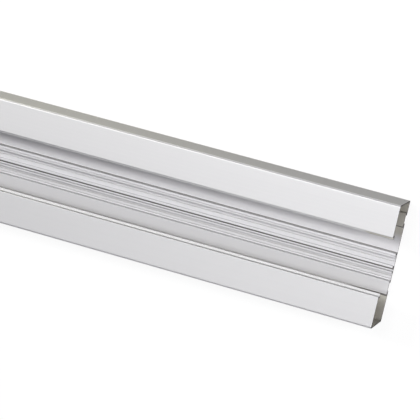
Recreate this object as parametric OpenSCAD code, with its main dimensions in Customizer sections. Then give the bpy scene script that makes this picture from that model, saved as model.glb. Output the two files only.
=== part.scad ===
// Aluminium trunking base extrusion, one piece of stock, in millimetres.
// It lies on its back: X runs along the length, +Y is the upper flange of the
// wall-mounted profile, +Z is the open front, and Z = 0 is the back face.

/* [Stock] */
// length that the stock is sold in
length = 2000; // [250:10:6000]
// overall width, across both flanges
width = 170; // [166:1:260]
// overall depth, back face to front face
depth = 65; // [40:0.5:110]

/* [Walls] */
// thickness of the back web
web_t = 2; // [1.6:0.1:3]
// thickness of the two side flanges
flange_t = 1.8; // [1.4:0.1:3]
// thickness of the front lips and of their cover seats
lip_t = 1.8; // [1.4:0.1:2.6]

/* [Front lips] */
// width of each front lip, from the outer flange face to the cover gap
lip_w = 44.2; // [30:0.1:55]
// how far the cover seat lies behind the front face
seat_depth = 7.5; // [5:0.1:12]
// how far the cover seat reaches past the lip into the cover gap
seat_reach = 3.5; // [2:0.1:6]

/* [Edges] */
// outer radius along the two front corners
front_r = 2.8; // [0.5:0.1:4]
// outer radius along the two back corners
back_r = 1.2; // [0.5:0.1:3]
// radius inside the corners of the channel
inner_r = 2.4; // [0.5:0.1:3]
// radius along the free edge of each lip
nose_r = 0.8; // [0.3:0.1:1]
// small fillet at the roots of the ribs
root_r = 0.7; // [0.2:0.1:1]
// small radius along the outer edges of the ribs
edge_r = 0.4; // [0.1:0.05:0.6]

/* [Device rail] */
// shift of the rail slot from the centre line, towards the upper flange
rail_shift = 0.2; // [-4:0.1:4]
// clear width of the slot between the two hooks
rail_slot = 10.2; // [8:0.1:12]
// width of the deep hook, on the upper side of the slot
deep_hook_w = 6.6; // [5:0.1:9]
// width of the short hook, on the lower side of the slot
short_hook_w = 3.3; // [3:0.1:5]
// height of both hooks over the web
hook_h = 10; // [6:0.1:13]
// wall thickness of both hooks
hook_t = 2; // [1.4:0.1:2.4]

/* [Back slots] */
// outer width of the raised hat round each back slot
hat_w = 18.4; // [17:0.1:20]
// height of the hat, from the back face
hat_h = 9; // [7:0.1:13]
// thickness of the hat's side walls
hat_t = 1.9; // [1.5:0.1:2]
// thickness of the hat's front wall
hat_front_t = 2.4; // [1.8:0.1:3]
// width of the hat's lower shoulder, which rolls off towards the web
shoulder_w = 6.4; // [3:0.1:7]
// radius that the shoulder rolls off with
shoulder_r = 60; // [30:1:120]
// width of the slot mouth in the back face
slot_mouth = 11.4; // [6:0.1:12]
// distance from the upper flange face to the upper hat
upper_hat_gap = 17.2; // [8:0.1:22]
// distance from the lower flange face to the lower hat
lower_hat_gap = 39.5; // [8:0.1:41]

/* [Fine ribs and scribe lines] */
// distance from the rail slot's middle to the near side of the low rib
low_rib_gap = 13.9; // [12:0.1:15]
// width of the low rib
low_rib_w = 2.5; // [2:0.1:4]
// height of the low rib over the web
low_rib_h = 7; // [1:0.1:9]
// spacing of the scribe lines, from the low rib on
scribe_pitch = 3.9; // [2.5:0.1:4]
// number of scribe lines below the low rib
scribe_count = 2; // [0:1:2]
// depth of each scribe line
scribe_d = 0.9; // [0.3:0.05:1]

/* [Hidden] */
$fn = 48;
// lets shapes overlap where they join
eps = 0.01;
half_w = width / 2;
gap_half = half_w - lip_w;
seat_z = depth - seat_depth;
hook_top = web_t + hook_h;
rail_y = rail_shift;
deep_edge = rail_y + rail_slot / 2;
short_edge = rail_y - rail_slot / 2;
low_rib_top = rail_y - low_rib_gap;
low_rib_end = low_rib_top - low_rib_w;
upper_hat_y = half_w - upper_hat_gap - hat_w / 2;
lower_hat_y = -half_w + lower_hat_gap + hat_w / 2;

// box between two corners of the section, first corner low
module span(y0, z0, y1, z1) {
    translate([y0, z0])
        square([y1 - y0, z1 - z0]);
}

// box with one radius on its back corners and one on its front corners
module round_span(y0, z0, y1, z1, back, front) {
    span(y0, z0 + back, y1, z1 - front);
    span(y0 + back, z0, y1 - back, z1 - front);
    span(y0 + front, z0 + back, y1 - front, z1);
    for (y = [y0 + back, y1 - back])
        translate([y, z0 + back])
            circle(r = back);
    for (y = [y0 + front, y1 - front])
        translate([y, z1 - front])
            circle(r = front);
}

// fillet that fills the corner at a point, open towards side and up
module cove(y, z, side, up = 1) {
    translate([y, z])
        mirror([side < 0 ? 1 : 0, 0])
            mirror([0, up < 0 ? 1 : 0])
                difference() {
                    translate([-eps, -eps])
                        square(root_r + eps);
                    translate([root_r, root_r])
                        circle(r = root_r);
                }
}

// closed C with the cover gap cut through its front
module shell() {
    difference() {
        round_span(-half_w, 0, half_w, depth, back_r, front_r);
        round_span(-half_w + flange_t, web_t, half_w - flange_t, depth - lip_t,
            inner_r, inner_r);
        span(-gap_half, depth - lip_t - eps, gap_half, depth + eps);
    }
}

// stepped edge of the upper lip, which the cover drops into
module cover_seat() {
    span(gap_half, seat_z - lip_t, gap_half + lip_t, depth - eps);
    span(gap_half - seat_reach + lip_t / 2, seat_z - lip_t, gap_half + eps, seat_z);
    translate([gap_half - seat_reach + lip_t / 2, seat_z - lip_t / 2])
        circle(d = lip_t);
    cove(gap_half, seat_z, -1);
    cove(gap_half + lip_t, depth - lip_t, 1, -1);
}

// what the radius along the lip's free edge takes off its corner
module lip_edge_cut() {
    difference() {
        span(gap_half - eps, depth - nose_r, gap_half + nose_r, depth + eps);
        translate([gap_half + nose_r, depth - nose_r])
            circle(r = nose_r);
    }
}

// rib on the web, from one side to the other, with eased edges
module rib(y0, y1, z1) {
    span(y0, web_t - eps, y1, z1 - edge_r);
    span(y0 + edge_r, web_t - eps, y1 - edge_r, z1);
    for (y = [y0 + edge_r, y1 - edge_r])
        translate([y, z1 - edge_r])
            circle(r = edge_r);
}

// one hook of the device rail, drawn with its slot towards +Y
module hook(hook_w) {
    span(-hook_w, web_t - eps, -hook_w + hook_t, hook_top - edge_r);
    span(-hook_w + edge_r, hook_top - hook_t, -hook_t / 2, hook_top);
    translate([-hook_w + edge_r, hook_top - edge_r])
        circle(r = edge_r);
    translate([-hook_t / 2, hook_top - hook_t / 2])
        circle(d = hook_t);
    cove(-hook_w, web_t, -1);
    cove(-hook_w + hook_t, web_t, 1);
}

// what the rolled shoulder takes off a hat that starts at y
module shoulder_cut(y) {
    difference() {
        span(y - eps, hat_h - shoulder_r, y + shoulder_w, hat_h + eps);
        translate([y + shoulder_w, hat_h - shoulder_r])
            circle(r = shoulder_r, $fn = 192);
    }
}

// raised hat, before its slot is cut from the back
module hat(y) {
    difference() {
        rib(y - hat_w / 2, y + hat_w / 2, hat_h);
        shoulder_cut(y - hat_w / 2);
    }
    cove(y + hat_w / 2, web_t, 1);
    cove(y - hat_w / 2, web_t, -1);
}

// undercut slot in the back face, under a hat
module back_slot(y) {
    span(y - slot_mouth / 2, -eps, y + slot_mouth / 2, web_t + eps);
    span(y - hat_w / 2 + hat_t, web_t, y + hat_w / 2 - hat_t, hat_h - hat_front_t);
}

// shallow line along the stock that guides a drill
module scribe(y, z) {
    translate([y, z])
        rotate(45)
            square(scribe_d * sqrt(2), center = true);
}

module section() {
    difference() {
        union() {
            shell();
            cover_seat();
            mirror([1, 0])
                cover_seat();
            translate([deep_edge, 0])
                mirror([1, 0])
                    hook(deep_hook_w);
            translate([short_edge, 0])
                hook(short_hook_w);
            rib(low_rib_end, low_rib_top, web_t + low_rib_h);
            cove(low_rib_top, web_t, 1);
            cove(low_rib_end, web_t, -1);
            hat(upper_hat_y);
            hat(lower_hat_y);
        }
        back_slot(upper_hat_y);
        back_slot(lower_hat_y);
        lip_edge_cut();
        mirror([1, 0])
            lip_edge_cut();
        scribe(0, web_t);
        scribe(deep_edge + deep_hook_w / 2, hook_top);
        if (scribe_count > 0)
            for (i = [1 : scribe_count])
                scribe(low_rib_end - i * scribe_pitch, web_t);
    }
}

module profile() {
    color([0.84, 0.85, 0.87])
        rotate([90, 0, 90])
            linear_extrude(height = length, center = true)
                section();
}

profile();
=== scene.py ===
import math

import bpy
from mathutils import Matrix, Vector


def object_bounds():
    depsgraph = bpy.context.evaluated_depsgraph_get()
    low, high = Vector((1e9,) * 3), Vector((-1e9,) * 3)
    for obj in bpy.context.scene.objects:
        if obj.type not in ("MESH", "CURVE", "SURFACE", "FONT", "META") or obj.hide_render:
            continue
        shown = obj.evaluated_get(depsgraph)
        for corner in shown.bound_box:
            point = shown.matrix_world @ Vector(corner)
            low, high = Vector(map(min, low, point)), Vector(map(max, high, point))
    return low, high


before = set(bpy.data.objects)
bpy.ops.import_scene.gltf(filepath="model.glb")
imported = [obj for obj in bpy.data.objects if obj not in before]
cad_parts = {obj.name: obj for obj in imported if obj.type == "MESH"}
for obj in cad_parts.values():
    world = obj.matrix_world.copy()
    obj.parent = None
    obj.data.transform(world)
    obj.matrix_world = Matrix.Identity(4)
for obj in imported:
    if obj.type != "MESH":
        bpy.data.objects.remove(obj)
cadLow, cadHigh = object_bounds()
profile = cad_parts["profile"]
scene = bpy.context.scene
scene.view_settings.view_transform = "Standard"
print("frame loaded, box", [round(v, 4) for v in (*cadLow, *cadHigh)])


# shader helpers: a value is a socket that can be calculated with
class Value:
    def __init__(self, maker, socket):
        self.maker = maker
        self.socket = socket

    def math(self, operation, *others):
        node = self.maker.add("ShaderNodeMath", {"operation": operation}, [self, *others])
        return Value(self.maker, node.outputs[0])

    def __add__(self, other):
        return self.math("ADD", other)

    def __sub__(self, other):
        return self.math("SUBTRACT", other)

    def __mul__(self, other):
        return self.math("MULTIPLY", other)

    def __rsub__(self, other):
        node = self.maker.add("ShaderNodeMath", {"operation": "SUBTRACT"}, [other, self])
        return Value(self.maker, node.outputs[0])

    __radd__ = __add__
    __rmul__ = __mul__


class ShaderMaker:
    def __init__(self, tree):
        self.tree = tree
        tree.nodes.clear()

    # settings go first, because they can change which sockets there are
    def add(self, kind, settings=None, values=None):
        node = self.tree.nodes.new(kind)
        for name, setting in (settings or {}).items():
            setattr(node, name, setting)
        pairs = values.items() if isinstance(values, dict) else enumerate(values or [])
        for key, value in pairs:
            if isinstance(value, Value):
                value = value.socket
            if isinstance(value, bpy.types.NodeSocket):
                self.tree.links.new(value, node.inputs[key])
            else:
                node.inputs[key].default_value = value
        return node

    def value(self, kind, settings=None, values=None, out=0):
        return Value(self, self.add(kind, settings, values).outputs[out])

    def fade(self, value, start, end, toMin=0.0, toMax=1.0):
        return self.value("ShaderNodeMapRange", {"interpolation_type": "SMOOTHSTEP"},
                          {"Value": value, "From Min": start, "From Max": end,
                           "To Min": toMin, "To Max": toMax})

    def noise(self, vector, scale, detail=2.0, roughness=0.5):
        return self.value("ShaderNodeTexNoise", None,
                          {"Vector": vector, "Scale": scale, "Detail": detail,
                           "Roughness": roughness})

    def blend(self, factor, first, second):
        node = self.add("ShaderNodeMix", {"data_type": "RGBA"},
                        {0: factor, 6: first, 7: second})
        return node.outputs[2]


def newMaterial(name):
    material = bpy.data.materials.new(name)
    material.use_nodes = True
    return material, ShaderMaker(material.node_tree)


# satin natural-anodised aluminium with lengthwise die lines and sawn ends, with painted shade in
# corners, grooves and behind the front lips, and a web painted paler and cooler
satinSet = dict(
    tint=(0.804, 0.803, 0.804, 1.0),
    streakTint=(0.794, 0.793, 0.795, 1.0),
    sawnTint=(0.15, 0.145, 0.138, 1.0),
    grazeTint=(0.10, 0.095, 0.09, 1.0),
    metallic=0.70,
    gloss=0.1,
    roughness=0.50,
    streakRoughness=0.03,
    grainRoughness=0.04,
    sideRoughness=0.32,                 # the outer faces of the flanges run smoother
    sideDepth=(0.0024, 0.0012),         # where that begins and is full, from the outer face
    sawnRoughness=0.34,
    arcRoughness=0.12,
    dieLineScale=(0.6, 420.0, 420.0),   # per metre: nearly endless along X
    broadLineScale=(0.25, 70.0, 70.0),
    fineShare=0.6,                      # of the fine lines in a streak
    streakFade=(0.35, 0.68),
    grainScale=2600.0,
    grainHeight=0.25,                   # beside the die lines' height of 1
    endDepth=0.00006,                   # what counts as the sawn face
    sawCentre=(-0.16, 0.22),            # Y, Z of the blade's axle
    sawPitch=0.0011,
    sawWander=3.0,                      # how far the grain pulls the arcs about
    dieBump=0.025,
    sawBump=0.25,
    bumpHeight=0.0002,
    paintedShadeTint=(0.24, 0.23, 0.22, 1.0),
    # painted shade in corners, grooves and beside ribs and hooks, mm: Y from, Y to, Z from, Z to,
    # how much
    shadeStrips=((11.85, 12.8, 1.9, 11.6, 1.0),
           (7.8, 9.4, 11.0, 11.8, 0.12),
           (-0.8, 0.8, 1.0, 1.8, 0.10),
           (-11.9, -8.1, 1.5, 2.6, 1.0),
           (-13.75, -12.9, 1.9, 8.7, 0.20),
           (-21.0, -19.3, 1.0, 1.8, 0.18),
           (-24.9, -23.2, 1.0, 1.8, 0.11),
           (-27.15, -26.3, 1.9, 8.7, 0.65),
           (67.75, 68.6, 1.9, 8.7, 0.95),
           (46.9, 49.5, 1.5, 2.6, 0.95)),
    shadeEdge=0.0003,
    endShade=(-49.4, -45.4, 1.5, 2.6, 1.0),  # painted shade beside the lower hat, only by the sawn ends
    endReach=0.06,
    webLightTint=(0.815, 0.811, 0.825, 1.0),  # painted light: a touch paler on the web and its ribs, and cooler for the tint of their shade
    webFace=(0.0015, 0.0019),            # Z just under the face of the web
    webSides=(0.042, 0.050),             # Y either way at which the painted paler, cooler tint fades out
    webTop=(0.015, 0.020),               # Z at which it fades out
    insideShadeTint=(0.67, 0.65, 0.59, 1.0),  # painted shade: darker and warmer behind the front lips
    wall=0.0018,                         # thickness of the flanges and lips
    skin=0.0002,                         # how far into a wall the painted shade inside still reaches
    # Y either way where the painted shade behind each lip begins, how softly, and its shift
    # inwards by the ends
    upperShade=dict(start=0.050, soft=0.010, endShift=0.020),
    lowerShade=dict(start=0.052, soft=0.002, endShift=0.0064),
)


def makeSatinAluminium(far, s=satinSet):
    material, m = newMaterial("satinAluminium")
    place = m.add("ShaderNodeTexCoord").outputs["Object"]
    axes = m.add("ShaderNodeSeparateXYZ", None, [place])
    x, y, z = (Value(m, axes.outputs[i]) for i in range(3))
    along = x.math("ABSOLUTE")
    aside = y.math("ABSOLUTE")

    # die lines run the whole length, fine ones over broad ones
    fine, broad = (m.add("ShaderNodeMapping", None, {"Vector": place, "Scale": s[key]}).outputs[0]
                   for key in ("dieLineScale", "broadLineScale"))
    fineLines = m.noise(fine, 1.0, detail=3.0, roughness=0.6)
    broadLines = m.noise(broad, 1.0)
    grain = m.noise(place, s["grainScale"], detail=1.0)
    streak = fineLines * s["fineShare"] + broadLines * (1 - s["fineShare"])
    streak = m.fade(streak, *s["streakFade"])

    # the sawn ends show the arcs of the blade
    end = m.fade(along, far.x - s["endDepth"], far.x - s["endDepth"] / 2)
    armY = y - s["sawCentre"][0]
    armZ = z - s["sawCentre"][1]
    arm = (armY * armY + armZ * armZ).math("SQRT")
    arc = (arm * (math.tau / s["sawPitch"]) + grain * s["sawWander"]).math("SINE") * 0.5 + 0.5

    # a strip of painted shade: darker colour standing in for the shadow in a corner or groove
    def strip(yFrom, yTo, zFrom, zTo, amount):
        soft = s["shadeEdge"]
        thin = soft / 3
        low, high, floor, roof = (v / 1000 for v in (yFrom, yTo, zFrom, zTo))
        across = m.fade(y, low, low + soft) * m.fade(y, high - soft, high, 1.0, 0.0)
        upward = m.fade(z, floor, floor + thin) * m.fade(z, roof - thin, roof, 1.0, 0.0)
        return across * upward * amount

    nearEnd = m.fade(along, far.x - s["endReach"], far.x - s["endReach"] / 2)
    # the painted shade strips, the first one only near the sawn ends
    paintedShade = strip(*s["endShade"]) * nearEnd
    for spot in s["shadeStrips"]:
        paintedShade = paintedShade.math("MAXIMUM", strip(*spot))

    # 1 behind a lip, where the painted shade falls; outward is the distance from the middle
    # towards its flange
    def behindLip(outward, start, soft, endShift):
        edge = start - nearEnd * endShift
        return m.fade(outward, edge, edge + soft)

    # 1 as far as a wall's inner face, 0 within the wall
    def upToWall(value, face):
        return m.fade(value, face + s["skin"], face + s["skin"] * 3, 1.0, 0.0)

    overWeb = m.fade(z, *s["webFace"])
    # where the painted shade behind the front lips falls
    insideShade = behindLip(y, **s["upperShade"]) + behindLip(0 - y, **s["lowerShade"])
    insideShade = insideShade * upToWall(aside, far.y - s["wall"]) * upToWall(z, far.z - s["wall"])
    insideShade = insideShade * overWeb
    # where the web and its ribs are painted paler and cooler
    webLight = m.fade(aside, *s["webSides"], 1.0, 0.0) * overWeb * m.fade(z, *s["webTop"], 1.0, 0.0)

    color = m.blend(streak, s["tint"], s["streakTint"])
    # painted light on the web: a touch paler and cooler
    color = m.blend(webLight, color, s["webLightTint"])
    # painted shade behind the front lips, darker and warmer
    color = m.blend(insideShade, color, s["insideShadeTint"])
    # painted shade in corners and grooves
    color = m.blend(paintedShade, color, s["paintedShadeTint"])
    color = m.blend(end, color, s["sawnTint"])

    side = m.fade(aside, *(far.y - depth for depth in s["sideDepth"]))
    roughness = s["roughness"] + side * (s["sideRoughness"] - s["roughness"])
    roughness = roughness + (streak - 0.5) * s["streakRoughness"]
    roughness = roughness + (grain - 0.5) * s["grainRoughness"]
    roughness = roughness * (1 - end) + (arc * s["arcRoughness"] + s["sawnRoughness"]) * end

    lines = m.add("ShaderNodeBump", None,
                  {"Strength": s["dieBump"], "Distance": s["bumpHeight"],
                   "Height": (fineLines + grain * s["grainHeight"]) * (1 - end)})
    bump = m.add("ShaderNodeBump", None,
                 {"Strength": s["sawBump"], "Distance": s["bumpHeight"], "Height": arc * end,
                  "Normal": lines.outputs[0]})
    shader = m.add("ShaderNodeBsdfPrincipled", None,
                   {"Base Color": color, "Metallic": s["metallic"], "Roughness": roughness,
                    "Specular IOR Level": s["gloss"], "Specular Tint": s["grazeTint"],
                    "Normal": bump.outputs[0]})
    m.add("ShaderNodeOutputMaterial", None, {"Surface": shader.outputs[0]})
    return material


satin = makeSatinAluminium(cadHigh)   # the far corner of the CAD box
profile.data.materials.clear()
profile.data.materials.append(satin)
print("profile finished in satin aluminium")


# pale floor, which shows white to the camera and still takes the shadow
floorSet = dict(size=60.0, bounce=0.30, seen=0.13, glow=0.90)


def makeFloor(s=floorSet):
    half = s["size"] / 2
    mesh = bpy.data.meshes.new("floor")
    mesh.from_pydata([(-half, -half, 0), (half, -half, 0), (half, half, 0), (-half, half, 0)],
                     [], [(0, 1, 2, 3)])
    floor = bpy.data.objects.new("floor", mesh)
    scene.collection.objects.link(floor)
    material, m = newMaterial("paleFloor")
    path = m.add("ShaderNodeLightPath").outputs
    shown = Value(m, path["Is Camera Ray"]).math("MAXIMUM", path["Is Glossy Ray"])
    shown = shown.math("MAXIMUM", path["Is Transmission Ray"])
    dim = m.add("ShaderNodeBsdfDiffuse", None, {"Color": (*[s["bounce"]] * 3, 1)})
    lit = m.add("ShaderNodeBsdfDiffuse", None, {"Color": (*[s["seen"]] * 3, 1)})
    glow = m.add("ShaderNodeEmission", None, {"Strength": s["glow"]})
    white = m.add("ShaderNodeAddShader", None, [lit.outputs[0], glow.outputs[0]])
    both = m.add("ShaderNodeMixShader", None, [shown, dim.outputs[0], white.outputs[0]])
    m.add("ShaderNodeOutputMaterial", None, {"Surface": both.outputs[0]})
    mesh.materials.append(material)
    return floor


makeFloor()
print("floor laid")


# soft studio light: three boxes over the upper flange's side, two weak ones opposite,
# a low warm card beside that flange, and the room
lightSet = dict(
    room=(0.84, 0.80, 1.0),
    roomStrength=0.07,
    wallStrength=0.20,                  # the walls are paler than the ceiling
    wallFade=(0.15, 0.75),              # how high the walls reach
    aim=(0.80, 0.0, 0.03),
    boxes=(("leftBox", (-1.5, 1.2, 3.0), (0.8, 0.6), 48.0, (1.0, 1.0, 1.0)),
           ("middleBox", (0.5, 0.74, 3.0), (0.8, 0.6), 25.2, (1.0, 1.0, 1.0)),
           ("rightBox", (2.6, 0.6, 2.0), (0.8, 0.6), 25.5, (1.0, 1.0, 1.0)),
           ("fillBox", (1.2, -0.7, 3.0), (0.8, 0.6), 5.9, (1.0, 1.0, 1.0)),
           ("lowFillBox", (0.5, -1.5, 2.6), (0.8, 0.6), 3.6, (1.0, 1.0, 1.0)),
           ("lowCard", (0.30, 0.55, 0.055), (0.35, 0.1), 2.4, (1.0, 0.97, 0.64))),
)


def aimed(place, aim, up):
    back = (Vector(place) - Vector(aim)).normalized()
    right = Vector(up).cross(back).normalized()
    top = back.cross(right)
    turn = Matrix((right, top, back)).transposed().to_4x4()
    return Matrix.Translation(place) @ turn


def makeLight(s=lightSet):
    world = bpy.data.worlds.new("room")
    world.use_nodes = True
    scene.world = world
    m = ShaderMaker(world.node_tree)
    way = m.add("ShaderNodeTexCoord").outputs["Generated"]
    rise = m.add("ShaderNodeSeparateXYZ", None, [way]).outputs[2]
    height = m.fade(rise, *s["wallFade"])
    walls, ceiling = (m.add("ShaderNodeBackground", None,
                            {"Color": (*s["room"], 1), "Strength": s[key]}).outputs[0]
                      for key in ("wallStrength", "roomStrength"))
    room = m.add("ShaderNodeMixShader", None, [height, walls, ceiling])
    m.add("ShaderNodeOutputWorld", None, {"Surface": room.outputs[0]})
    for name, place, size, power, color in s["boxes"]:
        lamp = bpy.data.lights.new(name, "AREA")
        lamp.shape = "RECTANGLE"
        lamp.size, lamp.size_y = size
        lamp.energy = power
        lamp.color = color
        box = bpy.data.objects.new(name, lamp)
        box.matrix_world = aimed(place, s["aim"], (0, 1, 0))
        box.visible_camera = False
        box.visible_glossy = name != "lowCard"   # the card only tints, it isn't mirrored
        scene.collection.objects.link(box)


makeLight()
print("lights set")


# the camera looks down on the cut end, turned so that the stock runs up to the left
cameraSet = dict(
    place=(1.4714, 0.5183, 2.8348),
    ahead=(-0.24841, -0.17420, -0.95286),
    up=(-0.25786, 0.96009, -0.10830),
    lens=185.2,
    sensor=36.0,
    reach=100.0,
)


def makeCamera(s=cameraSet):
    data = bpy.data.cameras.new("camera")
    data.lens = s["lens"]
    data.sensor_width = s["sensor"]
    data.clip_end = s["reach"]
    camera = bpy.data.objects.new("camera", data)
    place = Vector(s["place"])
    camera.matrix_world = aimed(place, place + Vector(s["ahead"]), s["up"])
    scene.collection.objects.link(camera)
    scene.camera = camera


makeCamera()
print("camera placed")
